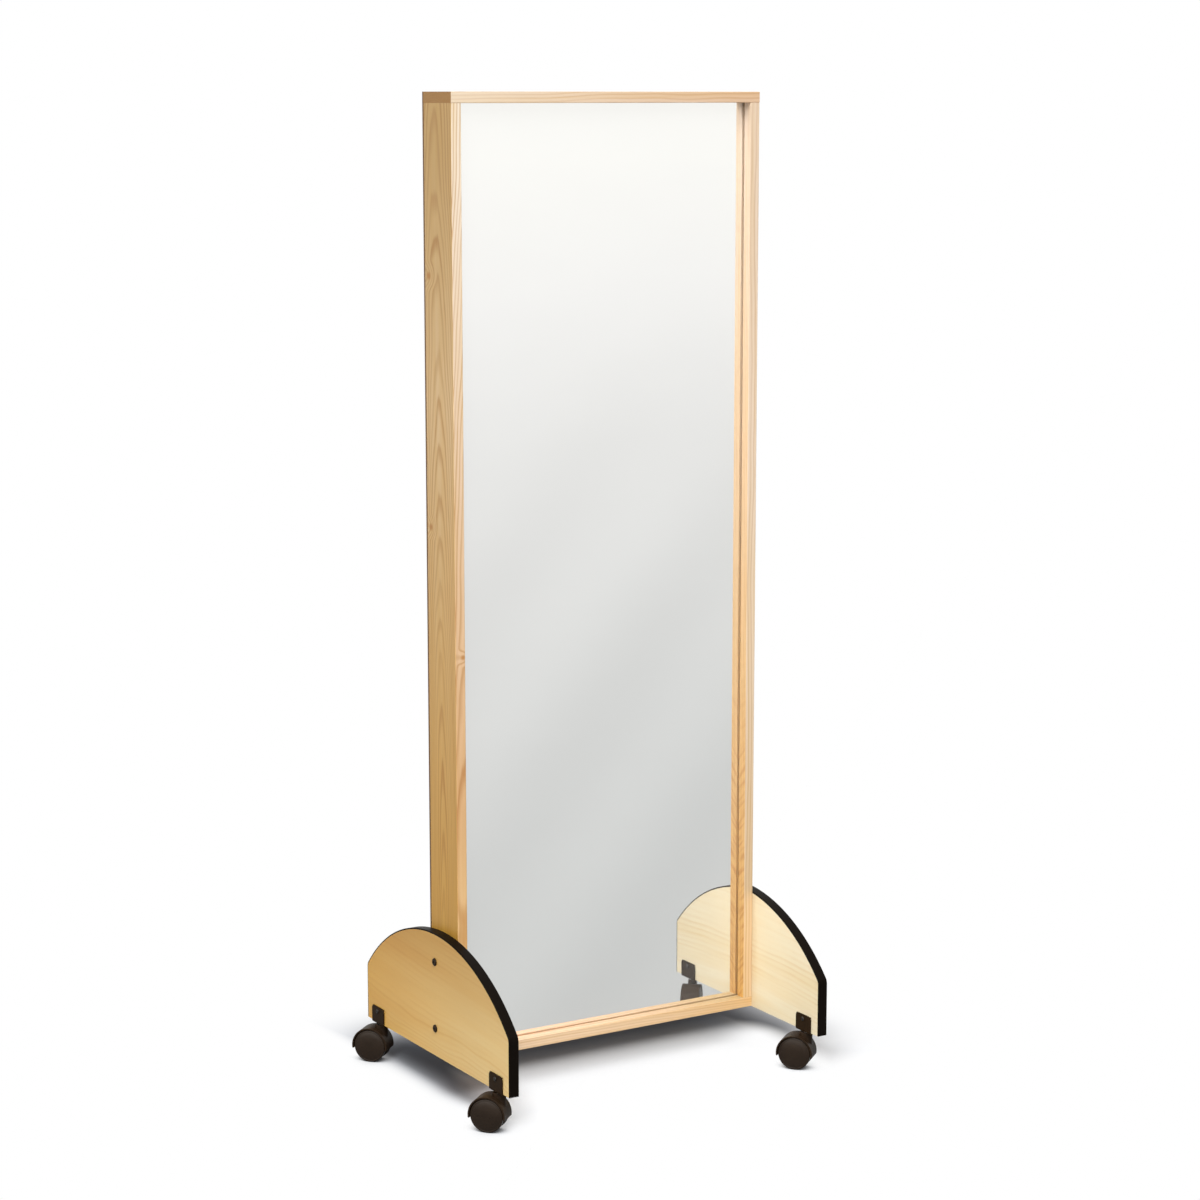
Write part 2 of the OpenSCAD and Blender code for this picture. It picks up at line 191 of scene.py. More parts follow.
def scaled(colour, share):
    return tuple(share * part for part in colour)


def mottled(tree, value, colour, surface):
    # from a darker to a lighter tone of the colour
    return blend(tree, value, *(scaled(colour, tone) for tone in surface["tones"]))


def deselectAll():
    if bpy.context.object and bpy.context.object.mode != "OBJECT":
        bpy.ops.object.mode_set(mode="OBJECT")
    bpy.ops.object.select_all(action="DESELECT")


def activate(piece):
    deselectAll()
    piece.select_set(True)
    bpy.context.view_layer.objects.active = piece


def fixPlace(piece):
    activate(piece)
    bpy.ops.object.transform_apply(location=True, rotation=True, scale=True)
    return piece


def named(name):
    piece = bpy.context.object
    piece.name = piece.data.name = name
    return fixPlace(piece)


def addDisc(name, radius, depth, centre, axis, vertices):
    # a cylinder along an axis
    deselectAll()
    turn = {"X": (0, math.pi / 2, 0), "Y": (-math.pi / 2, 0, 0), "Z": (0, 0, 0)}[axis]
    bpy.ops.mesh.primitive_cylinder_add(vertices=vertices, radius=radius, depth=depth,
                                        location=centre, rotation=turn)
    return named(name)


def addBlock(name, low, high):
    deselectAll()
    low, high = Vector(low), Vector(high)
    bpy.ops.mesh.primitive_cube_add(size=1, location=(low + high) / 2)
    bpy.context.object.scale = high - low
    return named(name)


def edit(piece):
    activate(piece)
    bpy.ops.object.mode_set(mode="EDIT")


def choose(piece, kind, rule):
    # selects the vertices, edges or faces that pass rule(middle, normal or direction)
    bpy.ops.mesh.select_mode(type={"verts": "VERT", "edges": "EDGE", "faces": "FACE"}[kind])
    bpy.ops.mesh.select_all(action="DESELECT")
    mesh = bmesh.from_edit_mesh(piece.data)
    for part in getattr(mesh, kind):
        if kind == "verts":
            fits = rule(part.co, part.normal)
        elif kind == "edges":
            ends = [vertex.co for vertex in part.verts]
            fits = rule((ends[0] + ends[1]) / 2, (ends[1] - ends[0]).normalized())
        else:
            fits = rule(part.calc_center_median(), part.normal)
        part.select_set(bool(fits))
    bmesh.update_edit_mesh(piece.data)


def done():
    bpy.ops.object.mode_set(mode="OBJECT")


def cutBelow(piece, place, normal):
    # keeps what lies on the normal's side of a plane, and closes the cut
    edit(piece)
    bpy.ops.mesh.select_mode(type="FACE")
    bpy.ops.mesh.select_all(action="SELECT")
    bpy.ops.mesh.bisect(plane_co=place, plane_no=normal, use_fill=True, clear_inner=True)
    done()


def push(offset):
    bpy.ops.mesh.extrude_region_move(TRANSFORM_OT_translate={"value": offset})


def applyModifier(piece, kind, **settings):
    activate(piece)
    modifier = piece.modifiers.new(kind.lower(), kind)
    for key, value in settings.items():
        setattr(modifier, key, value)
    bpy.ops.object.modifier_apply(modifier=modifier.name)


def bevelEdges(piece, width, segments=2, angle=35):
    applyModifier(piece, "BEVEL", width=width, segments=segments, limit_method="ANGLE",
                  angle_limit=math.radians(angle), use_clamp_overlap=True)


def merge(target, tool, operation):
    applyModifier(target, "BOOLEAN", object=tool, operation=operation, solver="EXACT")
    bpy.data.objects.remove(tool)


def smooth(piece, angle=30):
    activate(piece)
    bpy.ops.object.shade_smooth_by_angle(angle=math.radians(angle))
    applyModifier(piece, "WEIGHTED_NORMAL", keep_sharp=True)


def facing(place, direction, turn):
    # a matrix that stands a piece at a place with its Z along a direction, turned round that
    spin = Matrix.Rotation(turn, 4, "Z")
    return Matrix.Translation(place) @ Vector(direction).to_track_quat("Z", "Y").to_matrix().to_4x4() @ spin


def copyOf(piece, name, matrix):
    copy = piece.copy()
    copy.data = piece.data.copy()
    copy.name = copy.data.name = name
    bpy.context.scene.collection.objects.link(copy)
    copy.matrix_world = matrix
    return fixPlace(copy)


def dress(piece, material, body, slot, *stoodFor):
    piece.data.materials.clear()
    piece.data.materials.append(material)
    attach(piece, body)
    if stoodFor:
        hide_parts(*stoodFor)


def repaint(nodeName, material):
    for slot in nodes[nodeName].material_slots:
        slot.material = material


# Blender works in metres, so lengths below are in metres and angles in degrees
photoView = dict(
    place=(-2.6885, -4.4449, 1.7535), pitchDown=9.717, turnRight=31.268,
    lens=88.6, sensor=36.0,
)

studio = dict(
    fill=(0.36, 0.18),       # strength of the soft light from all round, from the front and from behind
    fillTurn=0.6,            # how far to the front and the back it changes between them
    keyTurn=-37.0,           # round from straight in front, towards the left
    keyHeight=50.0,          # above the floor
    keyAim=0.6,              # height of the place that it shines on
    keyDistance=8.0,
    keySize=5.2,
    keyPower=830.0,
    floorTone=0.92, floorTint=(0.965, 0.99, 1.03),
    floorReturn=0.42,        # how much of its light the floor sends back up at the object
    floorSize=120.0,
    floorRoughness=0.9,
    # the bands over which the floor round the mirror turns to plain white, and painted light: a part under
    # its front that glows plain white over the shadow there
    shadowEnds=dict(x=((0.37, 0.60), (-0.29, -0.345)), y=((0.26, 0.56), (-0.14, -0.26))),
    paintedLitFront=dict(y=(-0.02, 0.09), middle=0.10, halfWidth=(0.25, 0.33)),
    # painted contact shade: the floor's tone close under the object sinks by how little of the sky it sees
    paintedContactShade=dict(reach=0.10, samples=12, closed=0.20, open=0.80, tone=(0.30, 0.31, 0.34)),
    # painted shadow on the floor behind the mirror and between the panels: its tone starts to sink, is
    # lowest, and has risen again at these places along Y, and sooner by the last value farther out than
    # the corners' band
    paintedFloorShadow=dict(start=0.0, lowest=(0.15, 0.30), end=0.56, middle=0.09, halfWidth=(0.34, 0.47),
                   tone=(0.29, 0.30, 0.33), cornerMiddle=0.06, cornerBand=(0.300, 0.345), sooner=0.12),
    # a soft bright patch low on the left that only shows in sheens
    glint=dict(way=(-0.91, -0.39, 0.14), spread=(0.80, 0.95), strength=3.2),
)

# painted reflection, the floor as it shows in the mirror and in sheens: it pales the farther it lies
# towards the front left, and more slowly the farther it lies in any other direction
mirroredFloor = dict(
    slope=0.63, least=0.2, scale=2.7,
    tones=[(0.00, 0.585), (0.37, 0.69), (0.66, 0.82), (0.82, 0.945), (0.94, 1.0)],
    casts=[(0.2, (0.985, 1.0, 0.985)), (0.55, (1.0, 1.0, 0.982)), (0.8, (1.0, 0.992, 0.972)),
           (0.94, (1.0, 0.992, 0.957))],
    streakDepth=0.030, streakFade=(0.45, 0.8), streakTurns=2.0,
    fanSlope=5.08, fanStart=21.4, fanCentre=4.39, fanFirst=3.92,     # of the lines that the streaks follow
)


def setCamera():
    data = bpy.data.cameras.new("photoCamera")
    data.lens = photoView["lens"]
    data.sensor_width = photoView["sensor"]
    camera = bpy.data.objects.new("photoCamera", data)
    bpy.context.scene.collection.objects.link(camera)
    camera.location = photoView["place"]
    pitch, turn = math.radians(90 - photoView["pitchDown"]), math.radians(-photoView["turnRight"])
    camera.rotation_euler = (pitch, 0, turn)
    bpy.context.scene.camera = camera


def mirroredTone(tree):
    # painted reflection: the floor's tone in reflections, by its place: grey near at hand, paling to white
    # far off
    floor = mirroredFloor
    x, y = objectParts(tree)[:2]
    ahead = calc(tree, "MULTIPLY_ADD", x, -floor["slope"], calc(tree, "MULTIPLY", y, -1.0))
    away = calc(tree, "SQRT", calc(tree, "MULTIPLY_ADD", x, x, calc(tree, "MULTIPLY", y, y)))
    ahead = calc(tree, "MAXIMUM", ahead, calc(tree, "MULTIPLY", away, floor["least"]))
    share = calc(tree, "DIVIDE", ahead, calc(tree, "ADD", ahead, floor["scale"]))
    colour = times(tree, ramp(tree, share, floor["tones"]), ramp(tree, share, floor["casts"]))
    # painted streaks in the reflection: faint slanting lines in a fan across the floor
    fan = calc(tree, "MULTIPLY_ADD", x, floor["fanSlope"], floor["fanStart"])
    fan = calc(tree, "DIVIDE", fan, calc(tree, "SUBTRACT", floor["fanCentre"], y))
    fan = calc(tree, "SUBTRACT", floor["fanFirst"], fan)
    wave = calc(tree, "COSINE", calc(tree, "MULTIPLY", fan, 2 * math.pi * floor["streakTurns"]))
    depth = mapRange(tree, share, *floor["streakFade"], floor["streakDepth"], 0.0, "SMOOTHSTEP")
    return times(tree, colour, grey(tree, calc(tree, "MULTIPLY_ADD", wave, depth, 1.0)))


def setWorld():
    world = bpy.data.worlds.new("studioWorld")
    bpy.context.scene.world = world
    world.use_nodes = True
    tree = world.node_tree
    tree.nodes.clear()
    glint = studio["glint"]
    way = addNode(tree, "ShaderNodeTexCoord").outputs["Generated"]
    spot = addNode(tree, "ShaderNodeVectorMath", {0: way, 1: glint["way"]}, operation="DOT_PRODUCT")
    spot = mapRange(tree, spot.outputs["Value"], *glint["spread"], 0.0, glint["strength"], "SMOOTHSTEP")
    back = addNode(tree, "ShaderNodeSeparateXYZ", {0: way}).outputs[1]
    strength = mapRange(tree, back, -studio["fillTurn"], studio["fillTurn"], *studio["fill"])
    fill = addNode(tree, "ShaderNodeBackground", {"Color": (1, 1, 1, 1), "Strength": strength})
    glossy = addNode(tree, "ShaderNodeLightPath").outputs["Is Glossy Ray"]
    # painted reflection: in sheens and the mirror the sky takes the far tone of the mirrored floor
    pale = blend(tree, glossy, (1.0, 1.0, 1.0), mirroredFloor["casts"][-1][1])
    bright = calc(tree, "MULTIPLY_ADD", spot, glossy, 1.0)
    white = addNode(tree, "ShaderNodeBackground", {"Color": pale, "Strength": bright})
    seen = seenDirectly(tree)
    mix = addNode(tree, "ShaderNodeMixShader", {0: seen, 1: fill.outputs[0], 2: white.outputs[0]})
    addNode(tree, "ShaderNodeOutputWorld", {"Surface": mix.outputs[0]})


def addKeyLight():
    turn, height = math.radians(studio["keyTurn"]), math.radians(studio["keyHeight"])
    flat = math.cos(height)
    towards = Vector((math.sin(turn) * flat, -math.cos(turn) * flat, math.sin(height)))
    data = bpy.data.lights.new("keyLight", "AREA")
    data.shape = "SQUARE"
    data.size = studio["keySize"]
    data.energy = studio["keyPower"]
    light = bpy.data.objects.new("keyLight", data)
    bpy.context.scene.collection.objects.link(light)
    light.location = Vector((0, 0, studio["keyAim"])) + towards * studio["keyDistance"]
    light.rotation_euler = towards.to_track_quat("Z", "Y").to_euler()


def easeUp(tree, value, low, high):
    return mapRange(tree, value, low, high, ease="SMOOTHSTEP")


def easeDown(tree, value, low, high):
    return mapRange(tree, value, low, high, 1.0, 0.0, "SMOOTHSTEP")


def addFloor():
    deselectAll()
    bpy.ops.mesh.primitive_plane_add(size=studio["floorSize"])
    floor = bpy.context.object
    floor.name = "floor"
    material, tree, shader = newMaterial("paleFloor", roughness=studio["floorRoughness"], specular=0.0)
    x, y = objectParts(tree)[:2]
    # painted reflection: only what glossy rays see of the floor takes the mirrored tone
    glossy = addNode(tree, "ShaderNodeLightPath").outputs["Is Glossy Ray"]
    tint = blend(tree, glossy, (1.0, 1.0, 1.0), mirroredTone(tree))

    # painted contact shade: the floor's colour sinks towards the shade tone where little sky reaches it
    paintedContactShade = studio["paintedContactShade"]
    light = addNode(tree, "ShaderNodeAmbientOcclusion", {"Distance": paintedContactShade["reach"]},
                    samples=paintedContactShade["samples"]).outputs["AO"]
    light = mapRange(tree, light, paintedContactShade["closed"], paintedContactShade["open"])
    pale = scaled(studio["floorTint"], studio["floorTone"])
    seen = times(tree, blend(tree, light, paintedContactShade["tone"], pale), tint)

    # painted shadow: the floor's colour darkens behind the mirror and between the panels
    deep = studio["paintedFloorShadow"]
    corner = mapRange(tree, gapTo(tree, x, deep["cornerMiddle"]), *deep["cornerBand"], 0.0, deep["sooner"])
    shade = easeUp(tree, calc(tree, "ADD", y, corner), deep["start"], deep["lowest"][0])
    shade = calc(tree, "MULTIPLY", shade, easeDown(tree, y, deep["lowest"][1], deep["end"]))
    aside = easeDown(tree, gapTo(tree, x, deep["middle"]), *deep["halfWidth"])
    seen = tinted(tree, calc(tree, "MULTIPLY", shade, aside), seen, deep["tone"])
    returned = scaled(studio["floorTint"], studio["floorReturn"])
    setColour(tree, shader, blend(tree, seenDirectly(tree), returned, seen))

    ends, lit = studio["shadowEnds"], studio["paintedLitFront"]
    # painted light: under the mirror's front the floor glows plain white over its shadow
    aside = easeDown(tree, gapTo(tree, x, lit["middle"]), *lit["halfWidth"])
    fade = calc(tree, "MULTIPLY", easeDown(tree, y, *lit["y"]), aside)
    for part, bands in ((x, ends["x"]), (y, ends["y"])):
        for band in bands:
            fade = calc(tree, "MAXIMUM", fade, easeUp(tree, part, *band))
    plain = calc(tree, "MULTIPLY", calc(tree, "MULTIPLY", fade, light), seenDirectly(tree))
    glow = addNode(tree, "ShaderNodeEmission", {"Color": tint, "Strength": 1.0})
    top = addNode(tree, "ShaderNodeMixShader", {0: plain, 1: shader.outputs[0], 2: glow.outputs[0]})
    # from below the floor is clear, so that the underside can be looked at
    clear = addNode(tree, "ShaderNodeBsdfTransparent")
    behind = addNode(tree, "ShaderNodeNewGeometry").outputs["Backfacing"]
    mix = addNode(tree, "ShaderNodeMixShader", {0: behind, 1: top.outputs[0], 2: clear.outputs[0]})
    tree.links.new(mix.outputs[0], tree.nodes["Material Output"].inputs["Surface"])
    floor.data.materials.append(material)


# scales count lumps a metre, and a depth says how far a noise moves the tone either way
pine = dict(
    roughness=0.40, sheenSpan=(0.2, 0.8), sheenSway=(-0.06, 0.08), specular=0.4,
    coat=0.12, coatRoughness=0.22,
    frontTurn=(-0.55, -0.85), endTurn=(0.6, 0.85),      # how a face looks that gets front tones or end tint
    endTint=(0.62, 0.51, 0.25),
    ringPitch=0.0042, ringShape=[(0.0, 0.1), (0.35, 0.0), (0.82, 1.0), (1.0, 0.1)],
    ringBump=-0.5, bump=0.00012,
    wobbles=(60, 60, 6), wobbleDepth=0.8,               # small waves in the rings
    wanderings=(0.31, 1.55),                            # second scales of their middle's two slow waves
    years=(170, 0.9, 0.0), yearSpan=(0.3, 0.7), faintYear=0.45,
    lateTint=(0.72, 0.56, 0.38),                        # of the summer wood, times the colour round it
    fibres=(900, 900, 9), fibreDepth=0.05,
    clouds=(16, 16, 2.4), cloudDepth=0.05,
    streaks=(150, 150, 2.2), streakSpan=(0.3, 0.7),
    streakPale=(1.03, 1.05, 1.13), streakDeep=(0.97, 0.92, 0.80),
    knotColour=srgb(184, 124, 58), knotStretch=0.95, knotReach=5.0, knotPull=1.3, knotEdge=(0.35, 1.5),
    knotDepth=0.85,
    curlAcross=25, curlSpan=(0.46, 0.66), curlFade=(0.20, 0.12), curlTurn=(0.5, 0.9),
)


def pineBoard(name, along, pith, lean, tones, seed, wander=0.010, wanderPitch=2.0, depth=0.5, middle=0.0,
              curl=None, knots=()):
    # along: the axis of the grain. pith: where the rings' middle runs at the place called middle, and lean
    # how it drifts for each metre. tones: for front and side faces, (place along, colour). curl: its depth,
    # its ripples for each metre and the place below which they show. knots: (along, X or Z, Y, radius)
    material, tree, shader = newMaterial(name, pine["roughness"], pine["specular"])
    shader.inputs["Coat Weight"].default_value = pine["coat"]
    shader.inputs["Coat Roughness"].default_value = pine["coatRoughness"]
    x, y, z = objectParts(tree)
    across, length = (x, z) if along == "Z" else (z, x)
    parts = across, y, length

    seeded = calc(tree, "ADD", length, seed)
    squares = []
    for part, centre, drift, scale in zip((across, y), pith, lean, pine["wanderings"]):
        sway = noise(tree, (seeded,) * 3, (wanderPitch, scale, 0.0))
        line = calc(tree, "MULTIPLY_ADD", calc(tree, "SUBTRACT", length, middle), drift, centre)
        offset = calc(tree, "SUBTRACT", part, swayed(tree, sway, wander, line))
        squares.append(calc(tree, "MULTIPLY", offset, offset))
    reach = calc(tree, "SQRT", calc(tree, "ADD", *squares))

    knotMask = None
    for knotAt, knotAcross, knotY, radius in knots:
        stretch = radius * pine["knotStretch"]
        gaps = ((length, knotAt, stretch), (across, knotAcross, radius), (y, knotY, radius))
        square = 0.0
        for part, at, size in gaps:
            gap = calc(tree, "DIVIDE", calc(tree, "SUBTRACT", part, at), size)
            square = calc(tree, "MULTIPLY_ADD", gap, gap, square)
        gap = calc(tree, "SQRT", square)
        pull = mapRange(tree, gap, 0.0, pine["knotReach"], radius * pine["knotPull"], 0.0, "SMOOTHERSTEP")
        reach = calc(tree, "ADD", reach, pull)
        mask = mapRange(tree, gap, *pine["knotEdge"], pine["knotDepth"], 0.0, "SMOOTHSTEP")
        knotMask = mask if knotMask is None else calc(tree, "MAXIMUM", knotMask, mask)

    rings = calc(tree, "DIVIDE", reach, pine["ringPitch"])
    rings = calc(tree, "MULTIPLY_ADD", noise(tree, parts, pine["wobbles"], 3.0), pine["wobbleDepth"], rings)
    ring = ramp(tree, calc(tree, "FRACT", rings), pine["ringShape"], "EASE")
    years = noise(tree, (reach, seeded, seeded), pine["years"], 1.0)
    years = mapRange(tree, years, *pine["yearSpan"], pine["faintYear"] * depth, depth)
    strength = calc(tree, "MULTIPLY", ring, years)
    fibre = noise(tree, parts, pine["fibres"], 2.5, 0.6)
    cloud = noise(tree, (across, y, seeded), pine["clouds"])

    # besides the wood's own colour the tones hold painted light and shade: lighter or darker along the
    # board, and different on front and side faces
    front, side = (rampAlong(tree, length, tones[face]) for face in ("front", "side"))
    colour = blend(tree, mapRange(tree, faceTurn(tree, "Y"), *pine["frontTurn"]), side, front)
    sideways = calc(tree, "ABSOLUTE", faceTurn(tree, "X"))
    if along == "X":
        colour = tinted(tree, mapRange(tree, sideways, *pine["endTurn"]), colour, pine["endTint"])
    streak = mapRange(tree, noise(tree, parts, pine["streaks"], 3.0), *pine["streakSpan"])
    colour = times(tree, colour, blend(tree, streak, pine["streakPale"], pine["streakDeep"]))
    colour = tinted(tree, strength, colour, pine["lateTint"])
    shade = swayed(tree, cloud, pine["cloudDepth"], swayed(tree, fibre, pine["fibreDepth"]))
    colour = times(tree, colour, grey(tree, shade))
    if curl:
        # slanting ripples low down, on the faces that look along X
        slant = calc(tree, "ADD", seeded, y)
        ripple = noise(tree, (slant, y, seeded), (curl["ripples"], pine["curlAcross"], 0.0), 1.0)
        ripple = mapRange(tree, ripple, *pine["curlSpan"], 0.0, curl["depth"])
        low, high = curl["below"] - pine["curlFade"][0], curl["below"] + pine["curlFade"][1]
        ripple = calc(tree, "MULTIPLY", ripple, mapRange(tree, length, low, high, 1.0, 0.0))
        ripple = calc(tree, "MULTIPLY", ripple, mapRange(tree, sideways, *pine["curlTurn"]))
        colour = tinted(tree, ripple, colour, pine["lateTint"])
    if knotMask is not None:
        colour = blend(tree, knotMask, colour, pine["knotColour"])
    setColour(tree, shader, colour)
    setSheen(tree, shader, fibre, pine["roughness"], pine)
    addBump(tree, shader, calc(tree, "MULTIPLY_ADD", strength, pine["ringBump"], fibre), pine["bump"])
    return material


# the tones hold the wood's own colour and painted light and shade: lighter or darker along each board, and
# different on its front and side faces
boards = dict(
    left_stile=dict(
        name="pineLeftStile", along="Z", pith=(-0.311 + 0.052, 0.004), lean=(0.045, 0.006), seed=3.1,
        middle=1.2, depth=0.95,
        tones=dict(
            front=[(0.09, srgb(249, 213, 152)), (0.53, srgb(220, 176, 126)), (1.66, srgb(230, 213, 188))],
            side=[(0.30, srgb(214, 163, 68)), (1.22, srgb(224, 190, 138)), (1.66, srgb(196, 160, 101))]),
        knots=[(1.448, -0.311, 0.034, 0.0070), (1.015, -0.311, 0.034, 0.0062),
               (0.797, -0.296, -0.051, 0.0045)]),
    right_stile=dict(
        name="pineRightStile", along="Z", pith=(0.292 - 0.060, -0.140), lean=(0.012, -0.01), seed=7.7,
        middle=0.9, depth=0.62, wander=0.005, wanderPitch=2.5,
        curl=dict(depth=0.80, ripples=80.0, below=0.62),
        tones=dict(
            front=[(0.09, srgb(229, 197, 152)), (0.75, srgb(236, 213, 185)), (1.65, srgb(228, 206, 182))],
            side=[(0.09, srgb(209, 161, 85)), (0.75, srgb(212, 175, 124)), (1.65, srgb(220, 198, 175))])),
    top_rail=dict(
        name="pineTopRail", along="X", pith=(1.7485 - 0.050, 0.010), lean=(0.02, 0.01), seed=1.3,
        tones=dict(
            front=[(-0.311, srgb(224, 205, 179)), (0.311, srgb(214, 179, 142))],
            side=[(-0.311, srgb(200, 160, 110)), (0.311, srgb(226, 192, 146))])),
    bottom_rail=dict(
        name="pineBottomRail", along="X", pith=(0.0835 + 0.060, -0.020), lean=(-0.03, 0.01), seed=5.9,
        tones=dict(
            front=[(-0.311, srgb(249, 218, 184)), (0.311, srgb(232, 194, 142))],
            side=[(-0.311, srgb(249, 203, 169)), (0.311, srgb(177, 153, 108))])),
)


def paintBoards():
    for nodeName, board in boards.items():
        repaint(nodeName, pineBoard(**board))


laminate = dict(
    # painted light: the inner faces get a paler, less saturated tone of the laminate than the outer faces
    outerTones=[(-0.26, srgb(249, 214, 145)), (0.26, srgb(232, 179, 85))], inner=srgb(231, 216, 182),
    thickness=(0.3125, 0.3285),      # distances from the middle over which inner turns to outer
    highTint=(0.74, 0.63, 0.43), highSpan=(0.155, 0.285),      # of the outer face at the top of the arch
    grainTilt=-3.0, ringPitch=0.0088, ringShape=[(0.0, 0.1), (0.30, 0.0), (0.80, 1.0), (1.0, 0.1)],
    drifts=(3.2, 7.0, 0.0), loops=(7.0, 1.75), loopSpan=(0.10, 0.25),
    wobbles=(12, 90, 0.0), wobbleDepth=0.5,
    patches=(5, 14, 0.0), patchSpan=(0.42, 0.62), lines=(0.06, 0.52), lineTint=(0.87, 0.74, 0.54),
    years=(0.7, 0.5, 0.0), yearSpan=(0.35, 0.65), faintYear=0.25,
    bands=(2.2, 24, 0.0), bandSpan=(0.36, 0.64), bandPale=(1.02, 1.04, 1.08), bandDeep=(0.985, 0.945, 0.87),
    fibres=(0.0, 900, 22), fibreDepth=0.035,
    flecks=(0.0, 420, 60), fleckSpan=(0.62, 0.75), fleckDepth=0.05,
    clouds=(4, 7, 0.0), cloudDepth=0.06,
    coreColour=(0.36, 0.25, 0.14), coreChip=(0.56, 0.42, 0.26), chips=420.0, flatTurn=(0.7, 0.9),
    roughness=0.34, sheenSpan=(0.2, 0.8), sheenSway=(-0.03, 0.06), specular=0.45, bump=0.00005,
    seeds=dict(left=2.0, right=9.4),
)


def laminatePanel(name, side, seed):
    # maple-patterned faces with their grain nearly level, and a chipboard core at the bare bottom edge
    material, tree, shader = newMaterial(name, laminate["roughness"], laminate["specular"])
    x, y, z = objectParts(tree)
    tilt = math.radians(laminate["grainTilt"])
    length = calc(tree, "MULTIPLY_ADD", z, -math.sin(tilt), calc(tree, "MULTIPLY", y, math.cos(tilt)))
    across = calc(tree, "MULTIPLY_ADD", y, math.sin(tilt), calc(tree, "MULTIPLY", z, math.cos(tilt)))
    seeded = calc(tree, "ADD", length, seed)
    flat, deep = (seeded, across, seeded), (x, across, seeded)
    # nearly parallel lines high up, and lazy loops lower down
    drift = noise(tree, flat, laminate["drifts"], 2.0, 0.4)
    loops = mapRange(tree, across, *laminate["loopSpan"], *laminate["loops"])
    rings = calc(tree, "MULTIPLY_ADD", drift, loops, calc(tree, "DIVIDE", across, laminate["ringPitch"]))
    wobble = noise(tree, flat, laminate["wobbles"], 3.0)
    rings = calc(tree, "MULTIPLY_ADD", wobble, laminate["wobbleDepth"], rings)
    ring = ramp(tree, calc(tree, "FRACT", rings), laminate["ringShape"], "EASE")
    patches = noise(tree, flat, laminate["patches"])
    patches = mapRange(tree, patches, *laminate["patchSpan"], *laminate["lines"])
    years = noise(tree, (rings, seeded, seeded), laminate["years"], 0.0)
    years = mapRange(tree, years, *laminate["yearSpan"], laminate["faintYear"], 1.0)
    strength = calc(tree, "MULTIPLY", calc(tree, "MULTIPLY", ring, patches), years)
    fibre = noise(tree, deep, laminate["fibres"], 3.0, 0.6)

    high = blend(tree, mapRange(tree, z, *laminate["highSpan"]), (1.0, 1.0, 1.0), laminate["highTint"])
    outer = times(tree, rampAlong(tree, y, laminate["outerTones"]), high)
    # painted light: the inner faces take the paler, less saturated inner tone
    inward = mapRange(tree, calc(tree, "MULTIPLY", x, side), *laminate["thickness"], 1.0, 0.0)
    base = blend(tree, inward, outer, laminate["inner"])
    band = mapRange(tree, noise(tree, flat, laminate["bands"]), *laminate["bandSpan"])
    base = times(tree, base, blend(tree, band, laminate["bandPale"], laminate["bandDeep"]))
    shade = swayed(tree, noise(tree, flat, laminate["clouds"]), laminate["cloudDepth"])
    shade = swayed(tree, fibre, laminate["fibreDepth"], shade)
    flecks = mapRange(tree, noise(tree, deep, laminate["flecks"]), *laminate["fleckSpan"])
    shade = calc(tree, "MULTIPLY_ADD", flecks, -laminate["fleckDepth"], shade)
    face = times(tree, tinted(tree, strength, base, laminate["lineTint"]), grey(tree, shade))

    place = vectorOf(tree, x, y, z)
    chips = addNode(tree, "ShaderNodeTexVoronoi", {"Vector": place, "Scale": laminate["chips"]})
    chip = addNode(tree, "ShaderNodeSeparateColor", {0: chips.outputs["Color"]}).outputs[0]
    core = blend(tree, chip, laminate["coreColour"], laminate["coreChip"])
    flatness = mapRange(tree, calc(tree, "ABSOLUTE", faceTurn(tree, "X")), *laminate["flatTurn"])
    setColour(tree, shader, blend(tree, flatness, core, face))
    setSheen(tree, shader, fibre, laminate["roughness"], laminate)
    addBump(tree, shader, fibre, laminate["bump"])
    return material


def paintPanels():
    for side, way in sides.items():
        repaint(f"{side}_end_panel", laminatePanel(f"{side}Laminate", way, laminate["seeds"][side]))


plastic = dict(mottle=38, tones=(0.8, 1.25), sheenSpan=(0.3, 0.7), sheenSway=(-0.06, 0.06), bump=0.00006)


def plasticMaterial(name, colour, roughness, specular, grain, bump=plastic["bump"]):
    # moulded plastic: a fine pebble, and slow changes of sheen
    material, tree, shader = newMaterial(name, roughness=roughness, specular=specular)
    parts = objectParts(tree)
    slow = noise(tree, parts, (plastic["mottle"],) * 3, 3.0)
    setColour(tree, shader, mottled(tree, slow, colour, plastic))
    setSheen(tree, shader, slow, roughness, plastic)
    addBump(tree, shader, noise(tree, parts, (grain,) * 3, 2.0, 0.6), bump)
    return material


steel = dict(
    mottle=45, tones=(0.75, 1.3), sheenSpan=(0.3, 0.7), sheenSway=(-0.05, 0.07), peel=1100, bump=0.00005,
)


def coatedSteel(name, colour, roughness, specular, metallic=0.0):
    material, tree, shader = newMaterial(name, roughness, specular, metallic)
    parts = objectParts(tree)
    slow = noise(tree, parts, (steel["mottle"],) * 3, 3.0)
    setColour(tree, shader, mottled(tree, slow, colour, steel))
    setSheen(tree, shader, slow, roughness, steel)
    addBump(tree, shader, noise(tree, parts, (steel["peel"],) * 3), steel["bump"])
    return material


zinc = dict(
    spangle=60, tones=[(0.25, (0.55, 0.55, 0.54)), (0.75, (0.74, 0.74, 0.71))],
    grain=900, roughness=0.32, sheenSpan=(0.2, 0.8), sheenSway=(-0.06, 0.10), bump=0.00002,
)


